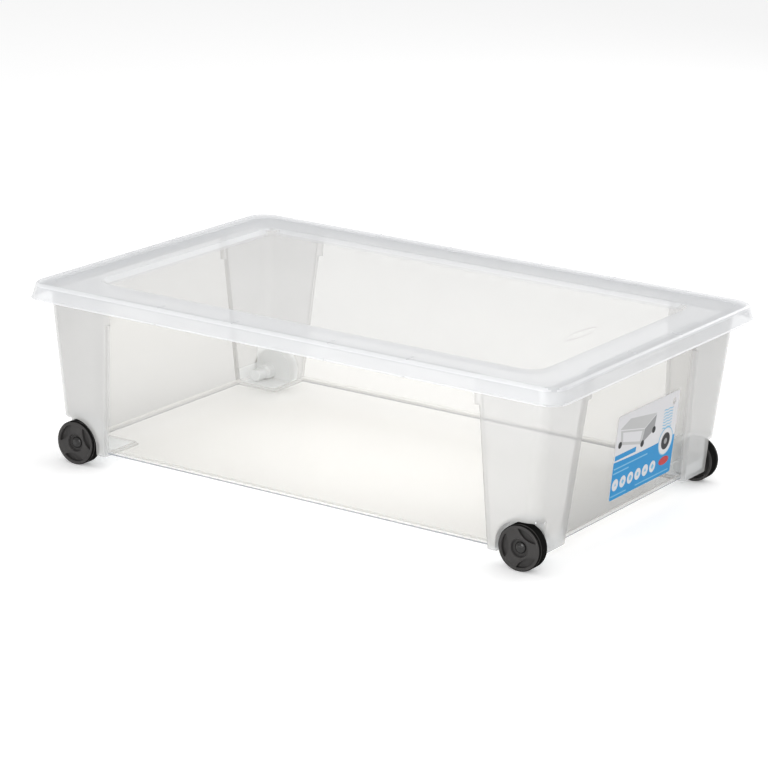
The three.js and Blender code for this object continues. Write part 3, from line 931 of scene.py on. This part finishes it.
def makeWaves():  # wavy rows standing for printed words
    parts = []
    count, left, low, spacing = label["waves"]
    for row in range(count):
        t = low + row * spacing
        top = [(left + i * label["waveStep"], t + 0.5 + 0.5 * math.sin(i * 1.1 + row))
               for i in range(13)]
        foot = [(x, y - 1.0) for x, y in top[::-1]]
        parts.append(ink(f"wave_{row}", foot + top, 1, finish["inkSky"]))
    return parts


def makeLabel():
    parts = [makeCard(), makeField()] + makeIcons() + makeDrawing() + makeRing() + makeWaves()
    for i, line in enumerate(label["lines"]):
        parts.append(bar(f"line_{i}", *line, 2, finish["inkSky"]))
    parts.append(bar("title", *label["title"], 1, finish["inkBlue"]))
    card = joined("label_card", parts)
    low, high = (Vector(corner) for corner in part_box("label"))
    lean = math.atan(tub["draft"])
    across, up = Vector((0, 1, 0)), Vector((math.sin(lean), 0, math.cos(lean)))
    seat = Matrix((across, up, across.cross(up))).transposed().to_4x4()
    card.data.transform(Matrix.Translation((low + high) / 2) @ seat)
    card.data.shade_flat()
    return card


labelPiece = makeLabel()
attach(labelPiece, "tub")
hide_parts("label")
print("label made")


stage = dict(
    azimuth=32.41, elevation=16.21, roll=1.91, distance=3104.8, slide=(-3.29, 86.2), lens=146.88,
    floorSide=16000.0, floorTone=0.93, floorGlow=0.25, worldLight=0.68,
)
lights = dict(  # lights' places and sizes in metres, power in watts
    key=dict(spot=(0.30, -1.35, 0.42), aim=(0.1, 0, 0.08), size=(0.7, 0.4), power=5.6),
    overhead=dict(spot=(-0.1, 0.2, 2.2), aim=(0, 0, 0), size=(1.8, 1.4), power=11),
    rim=dict(spot=(0.5, 1.9, 1.0), aim=(0.1, 0, 0.15), size=(1.2, 0.5), power=11),
    inside=dict(spot=(-0.02, 0, 0.155), aim=(-0.02, 0, 0), size=(0.40, 0.25), power=0.34),
)


def makeCamera():
    a, e, r = (math.radians(stage[key]) for key in ("azimuth", "elevation", "roll"))
    back = Vector((math.sin(a) * math.cos(e), -math.cos(a) * math.cos(e), math.sin(e)))
    right = (-back).cross(Vector((0, 0, 1))).normalized()
    up = back.cross(right)
    leanRight = right * math.cos(r) + up * math.sin(r)
    leanUp = up * math.cos(r) - right * math.sin(r)
    eye = bpy.data.objects.new("eye", bpy.data.cameras.new("eye"))
    bpy.context.scene.collection.objects.link(eye)
    spot = back * stage["distance"] + leanRight * stage["slide"][0] + leanUp * stage["slide"][1]
    turn = Matrix((leanRight, leanUp, back)).transposed().to_4x4()
    eye.matrix_world = Matrix.Translation(spot * mm) @ turn
    eye.data.lens = stage["lens"]
    eye.data.clip_end = 50
    bpy.context.scene.camera = eye


def makeFloor():
    half = stage["floorSide"] / 2
    corners = [(-half, -half, 0), (half, -half, 0), (half, half, 0), (-half, half, 0)]
    floor = newPiece("floor", corners, [(0, 1, 2, 3)], [])
    paper = bpy.data.materials.new("studioPaper")
    paper.use_nodes = True
    shader = paper.node_tree.nodes["Principled BSDF"]
    tone = stage["floorTone"]
    shader.inputs["Base Color"].default_value = (tone, tone, tone, 1)
    shader.inputs["Roughness"].default_value = 0.9
    shader.inputs["Specular IOR Level"].default_value = 0.1
    shader.inputs["Emission Color"].default_value = (1, 1, 1, 1)
    shader.inputs["Emission Strength"].default_value = stage["floorGlow"]
    floor.data.materials.append(paper)


def makeLight(name, spot, aim, size, power):
    lamp = bpy.data.lights.new(name, "AREA")
    lamp.shape = "RECTANGLE"
    lamp.size, lamp.size_y = size
    lamp.energy = power
    light = bpy.data.objects.new(name, lamp)
    light.location = spot
    light.rotation_euler = (Vector(aim) - Vector(spot)).to_track_quat("-Z", "Y").to_euler()
    light.visible_camera = False
    bpy.context.scene.collection.objects.link(light)


def makeWorld():
    world = bpy.data.worlds.new("studio")
    world.use_nodes = True
    sky = world.node_tree.nodes["Background"]
    sky.inputs["Color"].default_value = (1, 1, 1, 1)
    sky.inputs["Strength"].default_value = stage["worldLight"]
    bpy.context.scene.world = world


makeCamera()
makeFloor()
makeWorld()
for name, light in lights.items():
    makeLight(name, **light)
bpy.context.scene.view_settings.view_transform = "Standard"
print("stage set")
